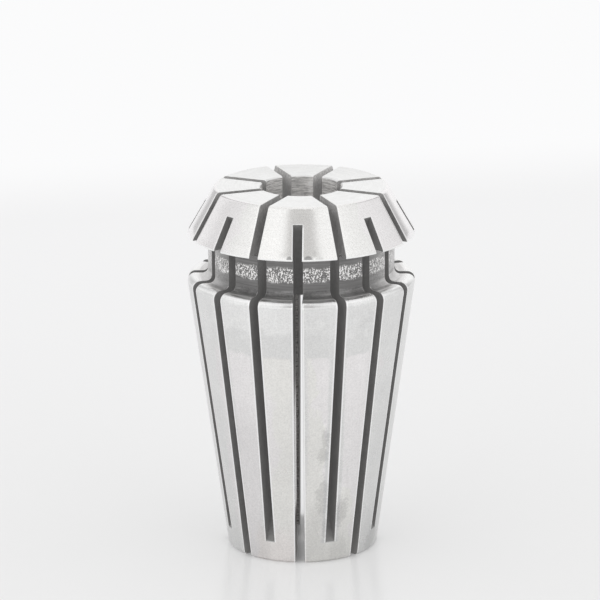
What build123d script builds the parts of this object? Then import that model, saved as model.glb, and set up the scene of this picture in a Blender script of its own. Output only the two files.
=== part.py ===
from build123d import *
import math
import os

# Spring collet of the ER type for a round shank, made in one piece from
# hardened spring steel. A body is turned and ground to its outline, bored
# through, and then sawn into a ring of springy segments: every second slot
# opens at the foot and the others open at the nose.
#
# Millimetres and degrees. The origin is the centre of the foot, the small
# end, on the collet's axis. +Z runs up the axis to the nose, and -Y runs out
# through the middle of one of the slots that open at the foot.

# ---- Driving dimensions: turned outline ----
MAX_DIAMETER = 17.0
LENGTH = 27.5
BORE_DIAMETER = 6.0
SEAT_HALF_ANGLE = 8.0
NOSE_HALF_ANGLE = 30.0
NOSE_LENGTH = 3.5
NOSE_RIM_STEP = 0.13
NOSE_LAND = 0.12
GROOVE_WIDTH = 3.1
GROOVE_DEPTH = 1.6

# ---- Driving dimensions: rounds and edge breaks ----
GROOVE_ROOT_RADIUS = 0.45
GROOVE_TOP_BREAK = 0.2
SHOULDER_RADIUS = 0.55
NOSE_EDGE_RADIUS = 0.3
FOOT_EDGE_BREAK = 0.15
BORE_EDGE_BREAK = 0.1

# ---- Driving dimensions: sawn slots ----
SLOTS_PER_END = 8
SLOT_WIDTH = 0.67
SAW_DIAMETER = 63.0
SAW_REACH_PAST_BORE_WALL = 3.0
NOSE_WEB = 1.1
FOOT_WEB = 1.6

# ---- Heights and radii that follow from them ----
MAX_RADIUS = MAX_DIAMETER / 2
RIM_RADIUS = MAX_RADIUS - NOSE_RIM_STEP
BORE_RADIUS = BORE_DIAMETER / 2
NECK_RADIUS = MAX_RADIUS - GROOVE_DEPTH
FLANGE_HEIGHT = LENGTH - NOSE_LENGTH
SHOULDER_HEIGHT = FLANGE_HEIGHT - GROOVE_WIDTH


def seat_radius(height):
    """Radius of the long tapered seat at a height above the foot."""
    return MAX_RADIUS - (SHOULDER_HEIGHT - height) * math.tan(math.radians(SEAT_HALF_ANGLE))


def nose_radius(height):
    """Radius of the short steep nose cone at a height above the foot."""
    above_land = height - FLANGE_HEIGHT - NOSE_LAND
    return RIM_RADIUS - above_land * math.tan(math.radians(NOSE_HALF_ANGLE))


def turned_blank():
    """The collet as it leaves the grinder, before any slot is sawn."""
    bore_foot = (BORE_RADIUS, 0)
    foot_edge = (seat_radius(0), 0)
    shoulder_edge = (MAX_RADIUS, SHOULDER_HEIGHT)
    groove_root = (NECK_RADIUS, SHOULDER_HEIGHT)
    groove_top = (NECK_RADIUS, FLANGE_HEIGHT)
    flange_edge = (RIM_RADIUS, FLANGE_HEIGHT)
    land_edge = (RIM_RADIUS, FLANGE_HEIGHT + NOSE_LAND)
    nose_edge = (nose_radius(LENGTH), LENGTH)
    bore_nose = (BORE_RADIUS, LENGTH)

    outline = Polyline(
        bore_foot,
        foot_edge,
        shoulder_edge,
        groove_root,
        groove_top,
        flange_edge,
        land_edge,
        nose_edge,
        bore_nose,
        close=True,
    )
    section = make_face(outline)
    for corner, radius in (
        (groove_root, GROOVE_ROOT_RADIUS),
        (shoulder_edge, SHOULDER_RADIUS),
        (nose_edge, NOSE_EDGE_RADIUS),
    ):
        section = fillet(vertex_at(section, corner), radius)
    for corner, width in (
        (foot_edge, FOOT_EDGE_BREAK),
        (bore_foot, BORE_EDGE_BREAK),
        (bore_nose, BORE_EDGE_BREAK),
        (groove_top, GROOVE_TOP_BREAK),
    ):
        section = chamfer(vertex_at(section, corner), width)
    return revolve(Plane.XZ * section, Axis.Z)


def vertex_at(section, point):
    """The corner of the flat section that lies at a point."""
    return section.vertices().sort_by_distance(Vector(*point))[0]


def slot_saw(web_radius, web_height, open_side):
    """Slitting saw at the end of its plunge.

    The disc stands in a plane through the collet's axis. Its rim passes
    through the edge of the web that stays uncut, and reaches inside the bore
    wall. open_side is -1 for a slot that opens at the foot, 1 at the nose.
    """
    saw_radius = SAW_DIAMETER / 2
    centre_radius = BORE_RADIUS - SAW_REACH_PAST_BORE_WALL + saw_radius
    across = centre_radius - web_radius
    centre_height = web_height + open_side * math.sqrt(saw_radius**2 - across**2)
    disc = Cylinder(saw_radius, SLOT_WIDTH, rotation=(90, 0, 0))
    return Pos(centre_radius, 0, centre_height) * disc


def collet():
    """The blank with both rings of slots sawn into it."""
    nose_web_height = LENGTH - NOSE_WEB
    foot_open_saw = slot_saw(nose_radius(nose_web_height), nose_web_height, -1)
    nose_open_saw = slot_saw(seat_radius(FOOT_WEB), FOOT_WEB, 1)
    half_pitch = 180 / SLOTS_PER_END

    sawn = turned_blank()
    sawn -= PolarLocations(0, SLOTS_PER_END, start_angle=-90) * foot_open_saw
    sawn -= PolarLocations(0, SLOTS_PER_END, start_angle=half_pitch - 90) * nose_open_saw
    return sawn


os.makedirs("parts", exist_ok=True)
export_step(collet(), "parts/collet.step")
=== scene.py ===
"""Spring collet: a dense, finished mesh of its sawn and ground body, on a pale stage.

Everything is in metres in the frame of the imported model: the foot's centre is the
origin, +Z runs up the axis to the nose, and -Y runs out through a slot that opens
at the foot. Run as a script, it builds the body, then the stage.
"""

import math

import bmesh
import bpy
from mathutils import Matrix, Vector


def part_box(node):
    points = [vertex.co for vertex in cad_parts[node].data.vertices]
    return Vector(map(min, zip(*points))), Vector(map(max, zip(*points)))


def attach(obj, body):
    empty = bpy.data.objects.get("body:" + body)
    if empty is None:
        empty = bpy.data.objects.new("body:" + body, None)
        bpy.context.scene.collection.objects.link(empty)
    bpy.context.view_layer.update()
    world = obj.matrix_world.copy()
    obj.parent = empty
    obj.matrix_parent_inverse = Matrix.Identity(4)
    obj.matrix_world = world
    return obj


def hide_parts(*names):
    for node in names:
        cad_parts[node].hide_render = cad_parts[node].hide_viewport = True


bl_info = {
    "name": "Spring Collet",
    "version": (1, 0, 0),
    "blender": (4, 5, 0),
    "location": "3D View > Sidebar > Collet",
    "description": "Builds a slotted spring collet of ground steel and the stage it stands on",
    "category": "Object",
}

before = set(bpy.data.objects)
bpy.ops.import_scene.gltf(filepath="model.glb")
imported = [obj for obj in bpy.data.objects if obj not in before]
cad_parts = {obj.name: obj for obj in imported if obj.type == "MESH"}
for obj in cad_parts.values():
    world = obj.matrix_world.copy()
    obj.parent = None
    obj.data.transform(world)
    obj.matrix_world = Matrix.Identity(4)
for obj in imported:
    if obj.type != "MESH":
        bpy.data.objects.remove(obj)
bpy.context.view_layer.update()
NODE = "collet"
NODE_LOW, NODE_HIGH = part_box(NODE)

MM = 0.001
SLOTS_PER_END = 8
SLOT_WIDTH = 0.67 * MM
NOSE_WEB = 1.1 * MM
FOOT_WEB = 1.6 * MM


# ---------------------------------------------------------------- settings


def size_property(name, description, default):
    """A length that a user may change, in metres."""
    return bpy.props.FloatProperty(
        name=name, description=description, default=default, min=0.0, unit="LENGTH", precision=5
    )


def angle_property(name, description, degrees):
    """An angle that a user may change."""
    return bpy.props.FloatProperty(
        name=name, description=description, default=math.radians(degrees), subtype="ANGLE"
    )


def colour_property(name, description, default):
    """A linear colour that a user may change."""
    return bpy.props.FloatVectorProperty(
        name=name,
        description=description,
        default=default,
        size=3,
        min=0.0,
        max=1.0,
        subtype="COLOR",
    )


def share_property(name, description, default):
    """A number from 0 to 1 that a user may change."""
    return bpy.props.FloatProperty(
        name=name, description=description, default=default, min=0.0, max=1.0, subtype="FACTOR"
    )


class ColletShape(bpy.types.PropertyGroup):
    """Sizes of the turned and sawn body."""

    max_diameter: size_property("Greatest diameter", "Across the seat at the shoulder", 17.0 * MM)
    length: size_property("Length", "From the foot to the nose face", NODE_HIGH.z - NODE_LOW.z)
    bore_diameter: size_property("Bore", "Diameter of the shank bore", 6.0 * MM)
    seat_angle: angle_property("Seat half angle", "Slope of the long taper to the axis", 8.0)
    nose_angle: angle_property("Nose half angle", "Slope of the short cone to the axis", 30.0)
    nose_length: size_property("Nose length", "Height of the nose above the groove", 3.5 * MM)
    rim_step: size_property("Nose rim step", "From the seat's radius in to the rim's", 0.13 * MM)
    nose_land: size_property("Nose land", "Height of the straight rim under the cone", 0.12 * MM)
    groove_width: size_property("Groove width", "Height of the extraction groove", 3.1 * MM)
    groove_depth: size_property("Groove depth", "From the seat's radius in to the neck", 1.6 * MM)
    root_round: size_property("Groove root round", "Radius from neck to shoulder", 0.45 * MM)
    top_break: size_property("Groove top break", "Flat from the neck into the rim", 0.2 * MM)
    shoulder_round: size_property("Shoulder round", "Radius over the shoulder's edge", 0.55 * MM)
    nose_round: size_property("Nose edge round", "Radius at the nose face's edge", 0.3 * MM)
    foot_break: size_property("Foot edge break", "Chamfer at the foot", 0.15 * MM)
    bore_break: size_property("Bore edge break", "Chamfer at both ends of the bore", 0.1 * MM)
    slots_per_end: bpy.props.IntProperty(
        name="Slots per end",
        description="Slots that open at each end",
        default=SLOTS_PER_END,
        min=2,
        max=16,
    )
    slot_width: size_property("Slot width", "Width of the saw cut", SLOT_WIDTH)
    saw_diameter: size_property("Saw diameter", "Diameter of the slitting saw", 63.0 * MM)
    saw_reach: size_property("Saw reach", "How far the saw passes the bore wall", 3.0 * MM)
    nose_web: size_property("Nose web", "Uncut height under the nose face", NOSE_WEB)
    foot_web: size_property("Foot web", "Uncut height above the foot", FOOT_WEB)
    edge_break: size_property("Slot edge break", "Deburred width along every slot", 0.03 * MM)


class ColletFinish(bpy.types.PropertyGroup):
    """Colours and gloss of the machined surfaces."""

    ground: colour_property("Ground steel", "The seat and the nose cone", (0.885, 0.885, 0.88))
    faced: colour_property("Faced steel", "The turned end faces", (0.92, 0.92, 0.915))
    neck: colour_property("Neck steel", "The groove", (0.80, 0.79, 0.785))
    bore: colour_property("Bore steel", "The reamed bore", (0.62, 0.61, 0.60))
    # Dark for the painted shade deep in the slots.
    sawn: colour_property("Sawn steel", "The walls of the slots", (0.16, 0.158, 0.156))
    ground_roughness: share_property("Seat roughness", "Roughness of the seat", 0.24)
    nose_roughness: share_property("Nose roughness", "Roughness of the nose cone", 0.16)


class ColletStage(bpy.types.PropertyGroup):
    """The floor, the light and the camera."""

    floor_near: colour_property("Near floor", "The floor at the camera's side", (0.89, 0.89, 0.89))
    floor_far: colour_property("Far floor", "The floor at the backdrop", (0.925, 0.925, 0.93))
    backdrop: colour_property("Backdrop", "What is behind the floor", (0.965, 0.965, 0.97))
    azimuth: angle_property("Camera azimuth", "Round the axis from -Y towards +X", 2.0)
    elevation: angle_property("Camera elevation", "Above the floor", 16.99)
    roll: angle_property("Camera roll", "Turn about the line of sight", -0.27)
    distance: size_property("Camera distance", "From the collet's middle", 321.6 * MM)


# ---------------------------------------------------------------- shader maths


class Wire:
    """A number carried by a node socket, so that shader maths reads as plain expressions."""

    def __init__(self, nodes, socket):
        self.nodes = nodes
        self.socket = socket

    def maths(self, operation, *values, clamp=False):
        """One Math node on the given values, numbers or wires."""
        settings = {"operation": operation, "use_clamp": clamp}
        return self.nodes.node("ShaderNodeMath", settings, dict(enumerate(values))).out()

    def __add__(self, other):
        return self.maths("ADD", self, other)

    def __radd__(self, other):
        return self.maths("ADD", other, self)

    def __sub__(self, other):
        return self.maths("SUBTRACT", self, other)

    def __rsub__(self, other):
        return self.maths("SUBTRACT", other, self)

    def __mul__(self, other):
        return self.maths("MULTIPLY", self, other)

    def __rmul__(self, other):
        return self.maths("MULTIPLY", other, self)

    def __truediv__(self, other):
        return self.maths("DIVIDE", self, other)

    def __pow__(self, other):
        return self.maths("POWER", self, other)

    def clamped(self):
        """The number held between 0 and 1."""
        return self.maths("ADD", self, 0.0, clamp=True)

    def smooth(self, low, high):
        """0 below low, 1 above high and a soft step between them."""
        settings = {"interpolation_type": "SMOOTHSTEP"}
        links = {"Value": self, "From Min": low, "From Max": high}
        return self.nodes.node("ShaderNodeMapRange", settings, links).out("Result")

    def band(self, low, high, edge):
        """1 between low and high, with soft edges of the given width."""
        return self.smooth(low - edge, low) * (1.0 - self.smooth(high, high + edge))


class Node:
    """One placed node, with its sockets found by name, identifier or number."""

    def __init__(self, nodes, node):
        self.nodes = nodes
        self.node = node

    @staticmethod
    def find(sockets, key):
        """The socket with that number, identifier or name."""
        if isinstance(key, int):
            return sockets[key]
        for socket in sockets:
            if socket.identifier == key:
                return socket
        return sockets[key]

    def out(self, key=0):
        """An output as a wire."""
        return Wire(self.nodes, self.find(self.node.outputs, key))


class Nodes:
    """The node tree of one material or world."""

    def __init__(self, owner):
        owner.use_nodes = True
        self.tree = owner.node_tree
        self.tree.nodes.clear()

    def node(self, kind, settings=None, links=None):
        """Adds a node: settings first, then the values or wires of its sockets."""
        node = self.tree.nodes.new(kind)
        for name, value in (settings or {}).items():
            if name == "stops":
                self.set_stops(node.color_ramp, value)
            else:
                setattr(node, name, value)
        for key, value in (links or {}).items():
            socket = Node.find(node.inputs, key)
            if isinstance(value, Wire):
                self.tree.links.new(value.socket, socket)
            elif isinstance(value, (tuple, list)) and socket.type == "RGBA":
                socket.default_value = (*value[:3], 1.0)
            else:
                socket.default_value = value
        return Node(self, node)

    @staticmethod
    def set_stops(ramp, stops):
        """Sets a ramp's stops from (place, value) pairs."""
        while len(ramp.elements) > 1:
            ramp.elements.remove(ramp.elements[-1])
        for index, (place, value) in enumerate(stops):
            element = ramp.elements[0] if index == 0 else ramp.elements.new(place)
            element.position = place
            element.color = (value, value, value, 1.0)

    def colour_mix(self, factor, first, second, blend="MIX"):
        """Two colours mixed by a factor."""
        settings = {"data_type": "RGBA", "blend_type": blend}
        links = {"Factor_Float": factor, "A_Color": first, "B_Color": second}
        return self.node("ShaderNodeMix", settings, links).out("Result_Color")

    def scaled(self, vector, factor):
        """A colour or another vector times a number."""
        links = {0: vector, "Scale": factor}
        return self.node("ShaderNodeVectorMath", {"operation": "SCALE"}, links).out()

    def vector(self, x, y, z):
        """Three numbers as a vector."""
        return self.node("ShaderNodeCombineXYZ", {}, {0: x, 1: y, 2: z}).out()

    def noise(self, vector, scale=1.0, detail=3.0, roughness=0.5):
        """Soft noise about 0.5."""
        links = {"Vector": vector, "Scale": scale, "Detail": detail, "Roughness": roughness}
        return self.node("ShaderNodeTexNoise", {}, links).out("Fac")

    def uneven(self, vector, scale=1.0, detail=3.0, roughness=0.5):
        """Soft noise about 0."""
        return self.noise(vector, scale, detail, roughness) - 0.5

    def surface(self, shader, output="ShaderNodeOutputMaterial"):
        """Connects a shader to the output of the material or world."""
        self.node(output, {}, {"Surface": shader})


# How many times its true length a distance counts, past the end of a slot.
PAST_SLOT_END = 9.0


class Place:
    """Where a point lies on the collet, in millimetres and radians."""

    def __init__(self, nodes):
        metres = nodes.node("ShaderNodeTexCoord").out("Object")
        self.nodes = nodes
        self.point = nodes.scaled(metres, 1.0 / MM)
        axes = nodes.node("ShaderNodeSeparateXYZ", {}, {0: self.point})
        self.x = axes.out("X")
        self.y = axes.out("Y")
        self.height = axes.out("Z")
        self.radius = (self.x * self.x + self.y * self.y) ** 0.5
        self.angle = self.x.maths("ARCTAN2", self.x, -1.0 * self.y)
        half_pitch = math.pi / SLOTS_PER_END
        self.from_foot_slot = self.slot_distance(0.0, half_pitch)
        self.from_nose_slot = self.slot_distance(half_pitch, half_pitch)

    def slot_distance(self, first, half_pitch):
        """Distance to the nearest edge of one ring of slots, in millimetres along the surface."""
        folded = self.angle.maths("PINGPONG", self.angle - first, half_pitch)
        return folded * self.radius - SLOT_WIDTH / MM / 2

    def nearest_edge(self, foot_slots_end, nose_slots_end):
        """Distance to the nearest slot edge, with the heights where the two rings of slots end."""
        past_foot_slot = (self.height - foot_slots_end) * PAST_SLOT_END
        past_nose_slot = (nose_slots_end - self.height) * PAST_SLOT_END
        to_foot_slot = past_foot_slot.maths("MAXIMUM", past_foot_slot, self.from_foot_slot)
        to_nose_slot = past_nose_slot.maths("MAXIMUM", past_nose_slot, self.from_nose_slot)
        return to_foot_slot.maths("MINIMUM", to_foot_slot, to_nose_slot)

    def around(self, turn_scale, height_scale, radius_scale=0.0):
        """Coordinates that stretch noise round the axis, with no seam."""
        across = self.x / self.radius * turn_scale
        ahead = self.y / self.radius * turn_scale
        along = self.height * height_scale + self.radius * radius_scale
        return self.nodes.vector(across, ahead, along)


# ---------------------------------------------------------------- finishes


# Heights in millimetres above the foot.
SEAT_TOP = 21.0
FOOT_WEB_TOP = FOOT_WEB / MM
NOSE_WEB_FOOT = (NODE_HIGH.z - NOSE_WEB) / MM
GROOVE = (21.2, 23.9)
LAND = (23.95, 24.15)
# The painted highlight along every slot: from, to and softness, in millimetres from the slot's
# edge.
SLOT_EDGE_HIGHLIGHT = (0.0, 0.09, 0.05)


def metal(name, colour, roughness, metallic=1.0):
    """A bare metal from a colour and a roughness, each built in the material's tree."""
    material = bpy.data.materials.new(name)
    nodes = Nodes(material)
    place = Place(nodes)
    links = {
        "Base Color": colour(nodes, place),
        "Metallic": metallic,
        "Roughness": roughness(nodes, place),
    }
    nodes.surface(nodes.node("ShaderNodeBsdfPrincipled", {}, links).out("BSDF"))
    return material


STAINS = (
    # angle from -Y in degrees, height in mm, half width and half height in mm, depth
    (16.4, 10.0, 0.32, 0.95, 0.19),
    (14.8, 8.7, 0.44, 0.60, 0.20),
    (15.6, 5.2, 0.50, 1.75, 0.21),
    (17.6, 3.0, 0.24, 0.90, 0.18),
    (13.0, 3.6, 0.80, 1.10, 0.09),
    (29.6, 3.9, 0.58, 1.15, 0.21),
    (9.0, 1.6, 1.00, 1.20, 0.06),
    (29.0, 1.0, 0.80, 0.90, 0.10),
    (66.0, 1.1, 0.80, 1.10, 0.16),
    (-4.4, 20.58, 0.62, 0.05, 0.16),
    (5.4, 20.58, 0.50, 0.05, 0.13),
)
GLINTS = (
    # the same, but light: bare metal and fringes where the oil dried last
    (15.6, 11.15, 0.16, 0.20, 0.10),
    (16.8, 9.35, 0.12, 0.12, 0.14),
    (15.4, 7.3, 0.34, 0.45, 0.07),
    (28.5, 5.8, 0.50, 0.55, 0.05),
)
SMUDGES = (
    # dark marks on the nose's rim beside the front slot, in the same terms
    (-3.9, 24.12, 0.24, 0.23, 0.62),
    (5.4, 24.13, 0.37, 0.25, 0.62),
    (11.0, 24.18, 0.34, 0.09, 0.20),
    (8.8, 24.50, 0.10, 0.20, 0.08),
)


def blots(nodes, place, spots, ragged_by):
    """Irregular soft-edged spots, each as deep as its last number says."""
    coarse = nodes.uneven(place.point, 1.5, roughness=0.6)
    fine = nodes.uneven(place.point, 6.0, detail=2.0, roughness=0.7)
    ragged = (1.8 * coarse + 1.3 * fine) * ragged_by
    total = None
    for angle, height, half_width, half_height, depth in spots:
        across = (place.angle - math.radians(angle)) * place.radius / half_width
        along = (place.height - height) / half_height
        distance = (across * across + along * along) ** 0.5 + ragged
        spot = (1.0 - distance.smooth(0.6, 1.2)) * depth
        total = spot if total is None else total.maths("MAXIMUM", total, spot)
    return total * (0.9 + 1.4 * ragged_by * fine)


PLAIN = (1.0, 1.0, 1.0)
MAUVE = (1.020, 1.0, 1.008)
STRAW = (1.008, 1.0, 0.978)
FAINT_STRAW = (1.006, 1.0, 0.990)
RUST = (1.035, 0.998, 0.985)


def between_turns(turn, left, right):
    """1 between two directions in degrees from -Y, with soft sides."""
    return turn.band(math.radians(left), math.radians(right), math.radians(4.0))


def oil_tint(nodes, place, panel):
    """The colours of a dried film: straw in front, mauve at its sides and rust at the foot."""
    height = place.height
    wander = nodes.uneven(place.around(2.5, 0.25), roughness=0.6)
    turn = place.angle + 0.6 * wander
    spread = 0.14 * (1.0 - height.smooth(10.0, 13.0)) + 0.36 * (1.0 - height.smooth(5.5, 6.5))
    past_straw = (turn - spread).smooth(0.16, 0.20)
    straw = turn.smooth(-0.36, -0.28) * (1.0 - past_straw) * panel
    mauve = between_turns(turn, -50.0, 46.0) * panel
    rust = (1.0 - (height + 3.0 * wander).smooth(1.2, 3.4)) * turn.band(-0.55, -0.02, 0.1)
    tint = nodes.colour_mix(mauve, PLAIN, MAUVE)
    tint = nodes.colour_mix(straw, tint, STRAW)
    return nodes.colour_mix(rust, tint, RUST)


def tinted(nodes, colour, tint, tone):
    """A steel's colour under a thin film, and its brightness."""
    return nodes.scaled(nodes.colour_mix(1.0, tuple(colour), tint, "MULTIPLY"), tone)


# Heights in millimetres on the seat: the top of the painted reflection panels, where the painted
# reflection clouds come in, the painted highlight on the rim and the painted shade under it.
REFLECTION_PANEL_TOP = 16.6
REFLECTION_CLOUDS = (18.0, 19.2)
RIM_HIGHLIGHT = (20.66, 20.95)
UNDER_RIM_SHADE = (20.38, 20.60)


def seat_reflection_panel(place, edge, wander, specks):
    """1 on each segment inside a wandering line by its slots, and below the clouds: the lighter
    panel of painted reflection.
    """
    inset = edge - (0.10 + 1.6 * wander).clamped() - 0.3 * specks
    below = REFLECTION_PANEL_TOP - place.height + 0.5 * specks
    return edge.maths("SMOOTH_MIN", inset, below, 0.5).smooth(-0.08, 0.20)


def seat_painted_shade(place):
    """How much painted shade darkens the seat: low on the right, and on the segments left of the
    front.
    """
    height, angle = place.height, place.angle
    low = 1.0 - height.smooth(0.5, 6.5)
    painted_shade_low_right = low * (angle.smooth(-0.02, 0.05) - 0.35 * angle.band(-0.42, -0.06, 0.04))
    painted_shade_left = angle.band(-0.78, -0.42, 0.04) * (1.0 - height.smooth(9.0, 14.0))
    return 0.07 * painted_shade_low_right + 0.07 * painted_shade_left


def seat_steel(finish):
    """The long seat: ground round its axis, with dried oil on it, and with painted reflection,
    highlight and shade.
    """

    def colour(nodes, place):
        height = place.height
        edge = place.nearest_edge(SEAT_TOP, FOOT_WEB_TOP)
        drift = nodes.uneven(place.around(2.0, 0.30), detail=4.0, roughness=0.6)
        specks = nodes.uneven(place.around(9.0, 1.3), roughness=0.6)
        grain = nodes.uneven(place.point, 8.0, roughness=0.8)
        streaks = nodes.uneven(place.around(34.0, 0.35), roughness=0.7)
        wander = nodes.uneven(place.around(2.6, 0.04), detail=2.0)
        turned = place.angle.maths("ABSOLUTE", place.angle)
        panel = seat_reflection_panel(place, edge, wander, specks)
        # Painted reflection: lighter clouds near the top, weaker on the right, and a lighter panel
        # on each segment below them, both fading at the sides.
        clouds = (height + drift * 6.0 + specks * 2.5).smooth(*REFLECTION_CLOUDS)
        clouds = clouds * (1.0 - 0.45 * place.angle.smooth(-0.15, 0.25))
        light = panel.maths("MAXIMUM", panel, clouds) * (1.0 - turned.smooth(0.60, 1.0))
        # Painted highlight on the rim at the sides, and painted shade just under it at the front.
        rim = height.band(*RIM_HIGHLIGHT, 0.05) * turned.smooth(0.25, 0.45)
        painted_shade_under_rim = height.band(*UNDER_RIM_SHADE, 0.08) * (1.0 - turned.smooth(0.40, 0.55))
        # Painted shade: the seat darker towards the foot.
        shade_towards_foot = 0.885 + 0.055 * height.smooth(-1.0, 6.0) + 0.06 * height.smooth(8.0, 15.0)
        # Painted reflection, and the painted highlight along the slots.
        tone = 0.902 + 0.095 * light + 0.34 * edge.band(*SLOT_EDGE_HIGHLIGHT)
        tone = (tone + 0.12 * rim - 0.09 * painted_shade_under_rim) * shade_towards_foot * (1.0 - seat_painted_shade(place))
        tone = tone * (1.0 + 0.12 * drift + 0.08 * specks + 0.10 * streaks + 0.46 * grain)
        tone = tone * (1.0 - blots(nodes, place, STAINS, 1.0))
        tone = tone * (1.0 + blots(nodes, place, GLINTS, 0.8))
        return tinted(nodes, finish.ground, oil_tint(nodes, place, panel), tone)

    def roughness(nodes, place):
        return finish.ground_roughness + 0.10 * nodes.noise(place.around(4.0, 1.0))

    return metal("seat steel", colour, roughness)


def nose_steel(finish):
    """The nose cone: ground brighter than the seat."""

    def colour(nodes, place):
        edge = place.nearest_edge(NOSE_WEB_FOOT, -1.0)
        drift = nodes.uneven(place.around(3.0, 0.8), detail=4.0, roughness=0.6)
        rings = nodes.uneven(place.around(1.0, 4.5), detail=2.0)
        grain = nodes.uneven(place.point, 8.0, roughness=0.8)
        # Painted highlight along the slots, strongest at the front.
        front = 1.0 - place.angle.maths("ABSOLUTE", place.angle).smooth(0.10, 0.20)
        edge_highlight = edge.band(*SLOT_EDGE_HIGHLIGHT) * (0.06 + 0.36 * front)
        tone = 0.985 + 0.08 * drift + 0.05 * rings + 0.44 * grain + edge_highlight
        tone = tone * (1.0 - blots(nodes, place, SMUDGES, 0.12))
        straw = between_turns(place.angle + 0.5 * drift, -34.0, 38.0)
        return tinted(nodes, finish.ground, nodes.colour_mix(straw, MAUVE, FAINT_STRAW), tone)

    def roughness(nodes, place):
        return finish.nose_roughness + 0.06 * nodes.noise(place.around(4.0, 2.0))

    return metal("nose steel", colour, roughness)


def edge_steel(finish):
    """The nose's rim and the broken edges of the slots: bright, with a painted highlight on the
    land, and painted shade down in the groove and towards the foot.
    """

    def colour(nodes, place):
        worn = nodes.noise(place.point, 1.6, detail=2.0)
        # Painted highlight on the land; painted shade in the groove and near the foot.
        land = place.height.band(*LAND, 0.04)
        groove = place.height.band(*GROOVE, 0.2) * (1.0 - land)
        low = 1.0 - place.height.smooth(2.0, 5.0)
        tone = 0.80 + 0.3 * worn + 0.14 * land
        return nodes.scaled(tuple(finish.ground), tone * (1.0 - 0.75 * groove) * (1.0 - 0.4 * low))

    def roughness(nodes, place):
        return 0.25 + 0.15 * nodes.noise(place.point, 3.0)

    return metal("edge steel", colour, roughness)


def faced_steel(finish):
    """The end faces: concentric turning marks."""

    def colour(nodes, place):
        rings = nodes.uneven(place.around(2.0, 0.0, 7.0), roughness=0.7)
        drift = nodes.uneven(place.point, 1.2)
        grain = nodes.uneven(place.point, 7.0, roughness=0.8)
        far_half = place.y.smooth(0.0, 6.0)
        tone = 0.96 + 0.26 * rings + 0.12 * drift + 0.30 * grain - 0.08 * far_half
        return nodes.scaled(tuple(finish.faced), tone)

    def roughness(nodes, place):
        return 0.28 + 0.12 * nodes.noise(place.around(1.2, 0.0, 4.0))

    return metal("faced steel", colour, roughness)


def sides(place):
    """0 at the front and the back, 1 at the two sides, where the groove gets painted reflection."""
    facing = place.angle.maths("COSINE", place.angle)
    return 1.0 - facing.maths("ABSOLUTE", facing).smooth(0.25, 0.80)


def neck_steel(finish):
    """The neck in the groove: turned, dark with painted shade, with bright specks of turning marks
    and painted reflection in a band, and painted reflection at the sides.
    """

    def colour(nodes, place):
        dots = nodes.noise(place.point, 11.0, detail=1.0)
        dashes = nodes.noise(place.around(64.0, 3.5), detail=1.0)
        clumps = nodes.uneven(place.point, 1.6, detail=2.0)
        specks = (0.6 * dots + 0.4 * dashes + 0.12 * clumps).smooth(0.475, 0.565)
        rings = nodes.noise(place.around(2.0, 9.0), roughness=0.7)
        # Painted reflection: the specks show bright only in this band, and the sides are lighter.
        speck_reflection_band = (place.height + 0.5 * clumps).band(22.1, 22.95, 0.2)
        side = sides(place)
        front = 0.11 + 0.32 * rings + 0.92 * specks * speck_reflection_band * (1.0 - 0.75 * side)
        return nodes.scaled(tuple(finish.neck), front + side * (0.42 + 0.7 * (dots + dashes - 1.0)))

    def roughness(nodes, place):
        return 0.30 + 0.2 * nodes.noise(place.point, 3.0)

    return metal("neck steel", colour, roughness)


def root_steel(finish):
    """The round from the neck over the shoulder, streaked round its length, with a painted
    highlight on the shoulder's edge and painted reflection at the sides.
    """

    def colour(nodes, place):
        rings = nodes.noise(place.around(3.0, 7.0, 7.0), roughness=0.7).smooth(0.30, 0.75)
        broad = nodes.uneven(place.around(4.0, 1.6, 1.6), detail=2.0)
        grain = nodes.uneven(place.point, 6.0, detail=2.0, roughness=0.7)
        # Painted highlight where the round turns over the shoulder's edge, and painted reflection
        # at the sides.
        shoulder_highlight = 0.14 * place.radius.smooth(6.95, 7.35) + 0.62 * place.radius.smooth(7.46, 7.84)
        tone = 0.15 + 0.22 * rings + 0.5 * broad * rings + 0.25 * grain + shoulder_highlight
        return nodes.scaled(tuple(finish.neck), tone + 0.66 * sides(place))

    def roughness(nodes, place):
        return 0.32 + 0.2 * nodes.noise(place.around(3.0, 3.0))

    return metal("root steel", colour, roughness, metallic=0.5)


def bore_steel(finish):
    """The bore: reamed, with rings across its length and one brighter streak down the back."""

    def colour(nodes, place):
        rings = nodes.noise(place.around(3.0, 12.0), roughness=0.8).smooth(0.30, 0.70)
        streak = place.x.band(0.6, 0.9, 0.3) * place.y.smooth(0.0, 1.0)
        return nodes.scaled(tuple(finish.bore), 0.58 + 1.12 * rings + 0.35 * streak)

    def roughness(nodes, place):
        return 0.45 + 0.2 * nodes.noise(place.around(2.0, 4.0))

    return metal("bore steel", colour, roughness, metallic=0.35)


# Strength and tint of the faint glow on the slot walls, which is painted light.
SLOT_GLOW = 0.045
SLOT_GLOW_TINT = (1.0, 0.98, 0.97)


def painted_slot_light(place, mouth, open_end, far):
    """How much painted light the slot walls get: more at both ends, and most at the mouth in the
    nose face.
    """
    foot = 1.0 - place.height.smooth(0.0, 3.0)
    return 1.0 + mouth + (0.32 + 0.28 * far) * open_end + 0.3 * foot


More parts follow.
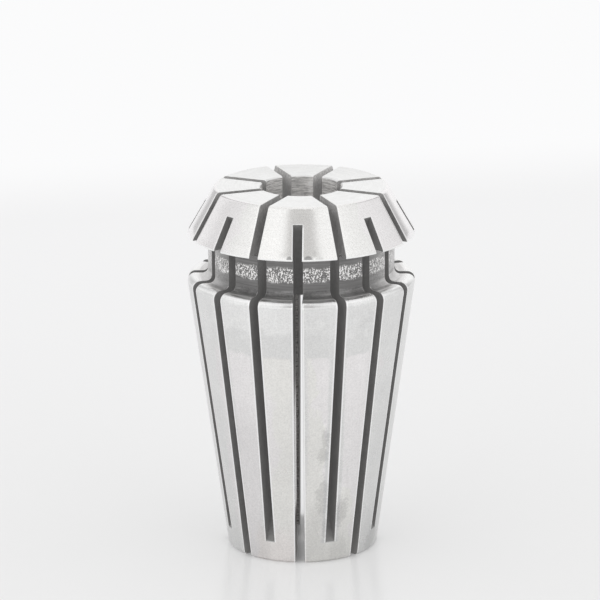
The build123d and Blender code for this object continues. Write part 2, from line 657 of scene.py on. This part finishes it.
def sawn_steel(finish):
    """The slot walls: a dark colour that is painted shade, and a faint glow over it that is painted
    light.
    """
    material = bpy.data.materials.new("sawn steel")
    nodes = Nodes(material)
    place = Place(nodes)
    height = place.height
    marks = nodes.noise(nodes.vector(place.radius * 3.0, place.angle, height * 0.8), detail=2.0)
    grain = nodes.uneven(place.point, 5.0, roughness=0.7)
    # Painted light: lighter on the far walls, at the open ends of the nose slots and at the mouth
    # in the nose face.
    far = place.y.smooth(0.5, 3.0)
    nose_slot = (1.0 - place.from_nose_slot.smooth(0.1, 0.4)) * (1.0 - sides(place))
    open_end = height.smooth(20.5, 24.5) * nose_slot
    mouth = height.smooth(26.4, 27.5) * (0.45 + 0.3 * place.x.smooth(0.0, 2.0) + 0.65 * far)
    front_slot = place.x.band(-0.5, 0.5, 0.1) * (1.0 - place.y.smooth(-1.0, 0.0))
    polish = height.smooth(3.0, 4.5) * (1.0 - height.smooth(11.0, 19.0)) * front_slot
    wall_light = painted_slot_light(place, mouth, open_end, far)
    tone = (0.8 + 0.4 * marks) * (wall_light + (0.4 + 2.2 * mouth + 1.3 * open_end) * grain)
    links = {
        "Base Color": nodes.scaled(tuple(finish.sawn), tone),
        "Roughness": 0.50 - 0.38 * polish,
        "Emission Color": nodes.scaled(SLOT_GLOW_TINT, tone),
        "Emission Strength": SLOT_GLOW,
    }
    nodes.surface(nodes.node("ShaderNodeBsdfPrincipled", {}, links).out("BSDF"))
    return material


FINISHES = {
    "seat": seat_steel,
    "nose": nose_steel,
    "edge": edge_steel,
    "faced": faced_steel,
    "neck": neck_steel,
    "root": root_steel,
    "bore": bore_steel,
    "sawn": sawn_steel,
}


# ---------------------------------------------------------------- the body's mesh


ROW_SPACING = 0.8 * MM
SEGMENT_COLUMNS = 12
SLOT_COLUMNS = 4
ARC_ROWS = 24
SHARP_ANGLE = math.radians(32)
EDGE_BREAK_STEPS = 2


class Row:
    """One ring of the turned outline, and the finish of the surface that follows it."""

    def __init__(self, radius, height, finish):
        self.radius = radius
        self.height = height
        self.finish = finish


def rounded_corner(before, corner, after, size, steps):
    """Points that replace a corner: an arc of that radius, or a flat of that width for one step."""
    corner = Vector(corner)
    back = (Vector(before) - corner).normalized()
    ahead = (Vector(after) - corner).normalized()
    if steps == 1:
        return [corner + back * size, corner + ahead * size]
    half = back.angle(ahead) / 2
    centre = corner + (back + ahead).normalized() * (size / math.sin(half))
    tangent = size / math.tan(half)
    start = corner + back * tangent - centre
    end = corner + ahead * tangent - centre
    turn = start.angle(end)
    points = []
    for step in range(steps + 1):
        along = step / steps
        weight_start = math.sin((1 - along) * turn) / math.sin(turn)
        weight_end = math.sin(along * turn) / math.sin(turn)
        points.append(centre + start * weight_start + end * weight_end)
    return points


def outline_rows(shape):
    """The closed half outline: out along the foot, up outside, in at the face, down the bore."""
    seat = shape.max_diameter / 2
    rim = seat - shape.rim_step
    bore = shape.bore_diameter / 2
    neck = seat - shape.groove_depth
    flange = shape.length - shape.nose_length
    shoulder = flange - shape.groove_width
    foot = seat - shoulder * math.tan(shape.seat_angle)
    land = flange + shape.nose_land
    face = rim - (shape.length - land) * math.tan(shape.nose_angle)
    corners = [
        # radius, height, size of the round, steps in it, its finish, finish of what follows
        (bore, 0.0, shape.bore_break, 1, "faced", "faced"),
        (foot, 0.0, shape.foot_break, 1, "seat", "seat"),
        (seat, shoulder, shape.shoulder_round, 10, "seat", "root"),
        (neck, shoulder, shape.root_round, 14, "root", "neck"),
        (neck, flange, shape.top_break, 1, "root", "root"),
        (rim, flange, 0.0, 0, "edge", "edge"),
        (rim, land, 0.0, 0, "nose", "nose"),
        (face, shape.length, shape.nose_round, 8, "nose", "faced"),
        (bore, shape.length, shape.bore_break, 1, "faced", "bore"),
    ]
    rows = []
    for index, (radius, height, size, steps, corner_finish, finish) in enumerate(corners):
        before = corners[index - 1][:2]
        after = corners[(index + 1) % len(corners)][:2]
        if steps:
            points = rounded_corner(before, (radius, height), after, size, steps)
        else:
            points = [Vector((radius, height))]
        rows += [Row(point.x, point.y, corner_finish) for point in points[:-1]]
        rows.append(Row(points[-1].x, points[-1].y, finish))
    return rows


def spaced_rows(rows):
    """The same outline with its long straight runs divided."""
    spaced = []
    for index, row in enumerate(rows):
        following = rows[(index + 1) % len(rows)]
        run = math.hypot(following.radius - row.radius, following.height - row.height)
        pieces = max(1, round(run / ROW_SPACING))
        for piece in range(pieces):
            along = piece / pieces
            radius = row.radius + (following.radius - row.radius) * along
            height = row.height + (following.height - row.height) * along
            spaced.append(Row(radius, height, row.finish))
    return spaced


def insert_row(rows, finish, height):
    """Adds a row where a run of that finish passes a height: the new outline, and the row."""
    for index, row in enumerate(rows):
        following = rows[(index + 1) % len(rows)]
        low, high = sorted((row.height, following.height))
        if row.finish == finish and low < height <= high:
            along = (height - row.height) / (following.height - row.height)
            radius = row.radius + (following.radius - row.radius) * along
            added = Row(radius, height, finish)
            return rows[: index + 1] + [added] + rows[index + 1 :], added
    raise ValueError(f"no {finish} surface at a height of {height / MM:.2f} mm")


class Saw:
    """The slitting saw for one kind of slot, and the two rows where the slot ends."""

    def __init__(self, shape, rows, opens_at_foot):
        self.radius = shape.saw_diameter / 2
        self.centre_radius = shape.bore_diameter / 2 - shape.saw_reach + self.radius
        outer_height = shape.length - shape.nose_web if opens_at_foot else shape.foot_web
        rows, outer = insert_row(rows, "nose" if opens_at_foot else "seat", outer_height)
        side = -1 if opens_at_foot else 1
        self.centre_height = outer_height + side * self.rise(outer.radius)
        inner_height = self.centre_height - side * self.rise(shape.bore_diameter / 2)
        self.rows, inner = insert_row(rows, "bore", inner_height)
        # The web is the run of the outline from start forward to end.
        self.start = outer if opens_at_foot else inner
        self.end = inner if opens_at_foot else outer

    def rise(self, radius):
        """Height of the saw's rim above its centre at a distance from the collet's axis."""
        return math.sqrt(self.radius**2 - (self.centre_radius - radius) ** 2)

    def rim_points(self, first, last, steps):
        """Points on the rim between two points given as (radius, height)."""
        centre = Vector((self.centre_radius, self.centre_height))
        angles = []
        for point in (first, last):
            arm = Vector(point) - centre
            angles.append(math.atan2(arm.y, -arm.x))
        points = []
        for step in range(1, steps):
            angle = angles[0] + (angles[1] - angles[0]) * step / steps
            points.append(centre + self.radius * Vector((-math.cos(angle), math.sin(angle))))
        return points


class SawnBody:
    """Builds the collet's mesh ring by ring, with every slot edge where the saw leaves it."""

    def __init__(self, shape):
        rows = spaced_rows(outline_rows(shape))
        foot_saw = Saw(shape, rows, True)
        nose_saw = Saw(shape, foot_saw.rows, False)
        self.rows = nose_saw.rows
        self.shape = shape
        self.half_width = shape.slot_width / 2
        self.slots = 2 * shape.slots_per_end
        self.saws = [foot_saw if slot % 2 == 0 else nose_saw for slot in range(self.slots)]
        self.finishes = list(FINISHES)
        self.mesh = bmesh.new()
        self.edges = {}

    def slot_angle(self, slot):
        """Direction of a slot's middle plane: the first slot lies towards -Y."""
        return -math.pi / 2 + 2 * math.pi * slot / self.slots

    def in_slot(self, slot, along, across, height):
        """A vertex given by its distance along and across a slot's middle plane."""
        turn = Matrix.Rotation(self.slot_angle(slot), 3, "Z")
        return self.mesh.verts.new(turn @ Vector((along, across, height)))

    def edge_column(self, slot, side):
        """The skin's vertices along one edge of a slot, one for each row."""
        key = (slot % self.slots, side)
        if key not in self.edges:
            across = side * self.half_width
            self.edges[key] = [
                self.in_slot(key[0], math.sqrt(row.radius**2 - across**2), across, row.height)
                for row in self.rows
            ]
        return self.edges[key]

    def web_rows(self, slot):
        """Numbers of the rows that the slot leaves whole, in order."""
        saw = self.saws[slot]
        number = self.rows.index(saw.start)
        last = self.rows.index(saw.end)
        numbers = [number]
        while number != last:
            number = (number + 1) % len(self.rows)
            numbers.append(number)
        return numbers

    def face(self, vertices, finish):
        """One face with its finish."""
        face = self.mesh.faces.new(vertices)
        face.material_index = self.finishes.index(finish)
        return face

    def skin_segment(self, slot):
        """The outer and inner skin between a slot and the next one."""
        first = self.edge_column(slot, 1)
        last = self.edge_column(slot + 1, -1)
        pitch = 2 * math.pi / self.slots
        columns = [first]
        for column in range(1, SEGMENT_COLUMNS):
            share = column / SEGMENT_COLUMNS
            vertices = []
            for row in self.rows:
                margin = math.asin(self.half_width / row.radius)
                angle = self.slot_angle(slot) + margin + (pitch - 2 * margin) * share
                point = (row.radius * math.cos(angle), row.radius * math.sin(angle), row.height)
                vertices.append(self.mesh.verts.new(point))
            columns.append(vertices)
        columns.append(last)
        for left, right in zip(columns, columns[1:]):
            for number, row in enumerate(self.rows):
                above = (number + 1) % len(self.rows)
                self.face((left[number], right[number], right[above], left[above]), row.finish)

    def slot_end(self, slot):
        """The web across a slot's end, the arc the saw leaves, and the slot's two walls."""
        saw = self.saws[slot]
        web = self.web_rows(slot)
        left = self.edge_column(slot, -1)
        right = self.edge_column(slot, 1)
        columns = [{number: left[number] for number in web}]
        for column in range(1, SLOT_COLUMNS):
            across = self.half_width * (2 * column / SLOT_COLUMNS - 1)
            vertices = {}
            for number in web:
                row = self.rows[number]
                along = math.sqrt(row.radius**2 - across**2)
                vertices[number] = self.in_slot(slot, along, across, row.height)
            columns.append(vertices)
        columns.append({number: right[number] for number in web})
        for here, beside in zip(columns, columns[1:]):
            for number, above in zip(web, web[1:]):
                quad = (here[number], beside[number], beside[above], here[above])
                self.face(quad, self.rows[number].finish)
        self.saw_arc(slot, saw, web, columns)

    def saw_arc(self, slot, saw, web, columns):
        """The curved end of the slot and the two flat walls that meet it."""
        start = (saw.start.radius, saw.start.height)
        end = (saw.end.radius, saw.end.height)
        rim = saw.rim_points(start, end, ARC_ROWS)
        arcs = []
        for number, column in enumerate(columns):
            across = self.half_width * (2 * number / SLOT_COLUMNS - 1)
            inside = [self.in_slot(slot, point.x, across, point.y) for point in rim]
            arcs.append([column[web[0]]] + inside + [column[web[-1]]])
        for here, beside in zip(arcs, arcs[1:]):
            for step in range(ARC_ROWS):
                self.face((here[step], here[step + 1], beside[step + 1], beside[step]), "sawn")
        cut = [(web[-1] + step) % len(self.rows) for step in range(len(self.rows) - len(web) + 2)]
        for side, arc in ((-1, arcs[0]), (1, arcs[-1])):
            skin = [self.edge_column(slot, side)[number] for number in cut]
            self.face(skin + arc[1:-1], "sawn")

    def break_edges(self):
        """Takes the burr off every edge where a slot meets the skin."""
        sawn = self.finishes.index("sawn")
        rim_edges = []
        for edge in self.mesh.edges:
            kinds = {face.material_index == sawn for face in edge.link_faces}
            if len(kinds) == 2:
                rim_edges.append(edge)
        bmesh.ops.bevel(
            self.mesh,
            geom=rim_edges,
            offset=self.shape.edge_break,
            offset_type="OFFSET",
            segments=EDGE_BREAK_STEPS,
            profile=0.5,
            affect="EDGES",
            clamp_overlap=True,
            material=self.finishes.index("edge"),
        )

    def build(self, name):
        """The finished mesh."""
        for slot in range(self.slots):
            self.skin_segment(slot)
        for slot in range(self.slots):
            self.slot_end(slot)
        bmesh.ops.recalc_face_normals(self.mesh, faces=self.mesh.faces)
        self.break_edges()
        if not all(edge.is_manifold for edge in self.mesh.edges):
            raise RuntimeError("the body's mesh is not closed")
        mesh = bpy.data.meshes.new(name)
        self.mesh.to_mesh(mesh)
        self.mesh.free()
        mesh.shade_smooth()
        mesh.set_sharp_from_angle(angle=SHARP_ANGLE)
        return mesh


def weigh_normals(piece):
    """Lets the large faces decide the shading beside the narrow broken edges."""
    modifier = piece.modifiers.new("weighted normals", "WEIGHTED_NORMAL")
    modifier.mode = "FACE_AREA"
    modifier.keep_sharp = True


# ---------------------------------------------------------------- the stage


FLOOR_HALF_SIZE = 1.5
FLOOR_SQUARES = 8
FLOOR_ROUGHNESS = 0.2
# The floor's own glow, what is left of it in the shade at the foot, and the radii in mm between
# which it comes back.
FLOOR_GLOW = 0.35
SHADE_GLOW = 0.2
SHADE = (4.6, 6.5)
# Distances behind the collet in mm, and how much the fade turns towards +X.
FLOOR_NEAR_Y = -20.0
FLOOR_FAR_Y = 96.0
BACKDROP_Y = 121.0
FADE_TURN = 0.2


def seen_rays(nodes):
    """1 for what is seen, directly, mirrored or through glass; 0 for light on other things."""
    ray = nodes.node("ShaderNodeLightPath")
    seen = ray.out("Is Camera Ray") + ray.out("Is Glossy Ray") + ray.out("Is Transmission Ray")
    return seen.clamped()


def glowing(nodes, colour):
    """A surface that shows its own colour, whatever light falls on it."""
    links = {
        "Base Color": (0.0, 0.0, 0.0),
        "Specular IOR Level": 0.0,
        "Emission Color": colour,
        "Emission Strength": 1.0,
    }
    return nodes.node("ShaderNodeBsdfPrincipled", {}, links).out("BSDF")


def floor_material(settings):
    """Pale, faintly glossy table top that fades into the backdrop."""
    material = bpy.data.materials.new("pale floor")
    nodes = Nodes(material)
    place = Place(nodes)
    away = place.y - FADE_TURN * place.x
    near_to_far = away.smooth(FLOOR_NEAR_Y, FLOOR_FAR_Y)
    colour = nodes.colour_mix(near_to_far, tuple(settings.floor_near), tuple(settings.floor_far))
    links = {"Base Color": colour, "Roughness": FLOOR_ROUGHNESS}
    table = nodes.node("ShaderNodeBsdfPrincipled", {}, links).out("BSDF")
    glow = glowing(nodes, colour)
    clear = SHADE_GLOW + (1.0 - SHADE_GLOW) * place.radius.smooth(*SHADE)
    share = FLOOR_GLOW * clear * seen_rays(nodes)
    lit = nodes.node("ShaderNodeMixShader", {}, {0: share, 1: table, 2: glow}).out()
    backdrop = glowing(nodes, tuple(settings.backdrop))
    fade = away.smooth(FLOOR_FAR_Y, BACKDROP_Y)
    nodes.surface(nodes.node("ShaderNodeMixShader", {}, {0: fade, 1: lit, 2: backdrop}).out())
    return material


def build_floor(settings):
    """A square floor under the foot."""
    mesh = bpy.data.meshes.new("floor")
    net = bmesh.new()
    bmesh.ops.create_grid(
        net, x_segments=FLOOR_SQUARES, y_segments=FLOOR_SQUARES, size=FLOOR_HALF_SIZE
    )
    net.to_mesh(mesh)
    net.free()
    floor = bpy.data.objects.new("floor", mesh)
    bpy.context.scene.collection.objects.link(floor)
    mesh.materials.append(floor_material(settings))


TENT_LEVELS = (
    # angle from the camera's side in degrees, positive to the right, and brightness
    (-180.0, 1.00),
    (-162.0, 0.98),
    (-155.0, 0.58),
    (-143.0, 0.58),
    (-136.0, 0.95),
    (-124.0, 0.93),
    (-108.0, 0.79),
    (-90.0, 0.86),
    (-72.0, 0.97),
    (-30.0, 1.09),
    (30.0, 1.04),
    (52.0, 1.02),
    (68.0, 0.95),
    (95.0, 0.89),
    (113.0, 0.86),
    (126.0, 0.84),
    (131.0, 0.52),
    (141.0, 0.52),
    (147.0, 1.04),
    (162.0, 1.02),
    (180.0, 1.00),
)
# The ramp that holds the levels is scaled by this, because its stops end at 1.
TENT_PEAK = 1.1
TENT_TOP = 0.98
TENT_TOP_FROM = math.radians(48.0)
TENT_TOP_TO = math.radians(65.0)
# The gap that the camera looks in through: its sides and its height, as seen from the collet.
GAP_LEFT = math.radians(-16.5)
GAP_RIGHT = math.radians(16.8)
GAP_LOW = math.radians(24.0)
GAP_HIGH = math.radians(66.0)
GAP_EDGE = math.radians(6.0)
GAP_DEPTH = 0.385
GAP_TINT = (1.0, 0.988, 0.98)


def build_world(settings):
    """A white light tent: brightest in front at both sides, with a gap in front for the camera."""
    world = bpy.data.worlds.new("light tent")
    bpy.context.scene.world = world
    nodes = Nodes(world)
    direction = nodes.node("ShaderNodeTexCoord").out("Generated")
    axes = nodes.node("ShaderNodeSeparateXYZ", {}, {0: direction})
    azimuth = axes.out("X").maths("ARCTAN2", axes.out("X"), -1.0 * axes.out("Y")) - settings.azimuth
    elevation = axes.out("Z").maths("ARCSINE", axes.out("Z"))
    place = azimuth / (2 * math.pi) + 0.5
    stops = [(0.5 + angle / 360, level / TENT_PEAK) for angle, level in TENT_LEVELS]
    ramp = nodes.node("ShaderNodeValToRGB", {"stops": stops}, {"Fac": place})
    ring = ramp.out("Color") * TENT_PEAK
    level = ring + (TENT_TOP - ring) * elevation.smooth(TENT_TOP_FROM, TENT_TOP_TO)
    gap = azimuth.band(GAP_LEFT, GAP_RIGHT, GAP_EDGE) * elevation.band(GAP_LOW, GAP_HIGH, GAP_EDGE)
    level = level * (1.0 - GAP_DEPTH * gap)
    tint = nodes.colour_mix(gap, PLAIN, GAP_TINT)
    links = {"Color": nodes.scaled(tint, level), "Strength": 1.0}
    nodes.surface(nodes.node("ShaderNodeBackground", {}, links).out(), "ShaderNodeOutputWorld")


# The picture's width, the place of the collet's middle in it and the focal length, in pixels.
PICTURE_WIDTH = 600
TARGET_PIXEL = (301.8, 363.9)
FOCAL_PIXELS = 4313.0
SENSOR_WIDTH = 36.0
NEAREST_SEEN = 1.0 * MM
FARTHEST_SEEN = 10.0


def build_camera(settings):
    """The camera, aimed so that the collet's middle lands on its place in the picture."""
    target = Vector((0.0, 0.0, (NODE_LOW.z + NODE_HIGH.z) / 2))
    flat = math.cos(settings.elevation)
    outward = Vector(
        (
            math.sin(settings.azimuth) * flat,
            -math.cos(settings.azimuth) * flat,
            math.sin(settings.elevation),
        )
    )
    data = bpy.data.cameras.new("camera")
    data.sensor_width = SENSOR_WIDTH
    data.lens = FOCAL_PIXELS / PICTURE_WIDTH * SENSOR_WIDTH
    data.clip_start = NEAREST_SEEN
    data.clip_end = FARTHEST_SEEN
    camera = bpy.data.objects.new("camera", data)
    bpy.context.scene.collection.objects.link(camera)
    pan = math.atan((TARGET_PIXEL[0] - PICTURE_WIDTH / 2) / FOCAL_PIXELS)
    tilt = math.atan((TARGET_PIXEL[1] - PICTURE_WIDTH / 2) / FOCAL_PIXELS)
    facing = outward.to_track_quat("Z", "Y").to_matrix()
    for angle, axis in ((settings.roll, "Z"), (pan, "Y"), (tilt, "X")):
        facing = facing @ Matrix.Rotation(angle, 3, axis)
    place = Matrix.Translation(target + outward * settings.distance)
    camera.matrix_world = place @ facing.to_4x4()
    bpy.context.scene.camera = camera


# ---------------------------------------------------------------- operators and panel


class COLLET_OT_body(bpy.types.Operator):
    """Build the sawn and ground body"""

    bl_idname = "collet.body"
    bl_label = "Build Body"

    def execute(self, context):
        mesh = SawnBody(context.scene.collet_shape).build("collet_body")
        for make_finish in FINISHES.values():
            mesh.materials.append(make_finish(context.scene.collet_finish))
        piece = bpy.data.objects.new("collet_body", mesh)
        context.scene.collection.objects.link(piece)
        weigh_normals(piece)
        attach(piece, "root")
        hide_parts(NODE)
        return {"FINISHED"}


class COLLET_OT_stage(bpy.types.Operator):
    """Build the floor, the light and the camera"""

    bl_idname = "collet.stage"
    bl_label = "Build Stage"

    def execute(self, context):
        settings = context.scene.collet_stage
        build_floor(settings)
        build_world(settings)
        build_camera(settings)
        context.scene.view_settings.view_transform = "Standard"
        return {"FINISHED"}


class COLLET_PT_sidebar(bpy.types.Panel):
    """Lists the steps that build the collet"""

    bl_idname = "COLLET_PT_sidebar"
    bl_label = "Collet"
    bl_space_type = "VIEW_3D"
    bl_region_type = "UI"
    bl_category = "Collet"

    def draw(self, context):
        self.layout.operator(COLLET_OT_body.bl_idname)
        self.layout.operator(COLLET_OT_stage.bl_idname)


CLASSES = (
    ColletShape,
    ColletFinish,
    ColletStage,
    COLLET_OT_body,
    COLLET_OT_stage,
    COLLET_PT_sidebar,
)
SETTINGS = {
    "collet_shape": ColletShape,
    "collet_finish": ColletFinish,
    "collet_stage": ColletStage,
}


def register():
    """Adds the classes and their settings to Blender."""
    for cls in CLASSES:
        bpy.utils.register_class(cls)
    for name, group in SETTINGS.items():
        setattr(bpy.types.Scene, name, bpy.props.PointerProperty(type=group))


def unregister():
    """Takes the classes and their settings out again."""
    for name in SETTINGS:
        delattr(bpy.types.Scene, name)
    for cls in reversed(CLASSES):
        bpy.utils.unregister_class(cls)


def main():
    """Builds the collet and its stage."""
    register()
    bpy.ops.collet.body()
    bpy.ops.collet.stage()


if __name__ == "__main__":
    main()
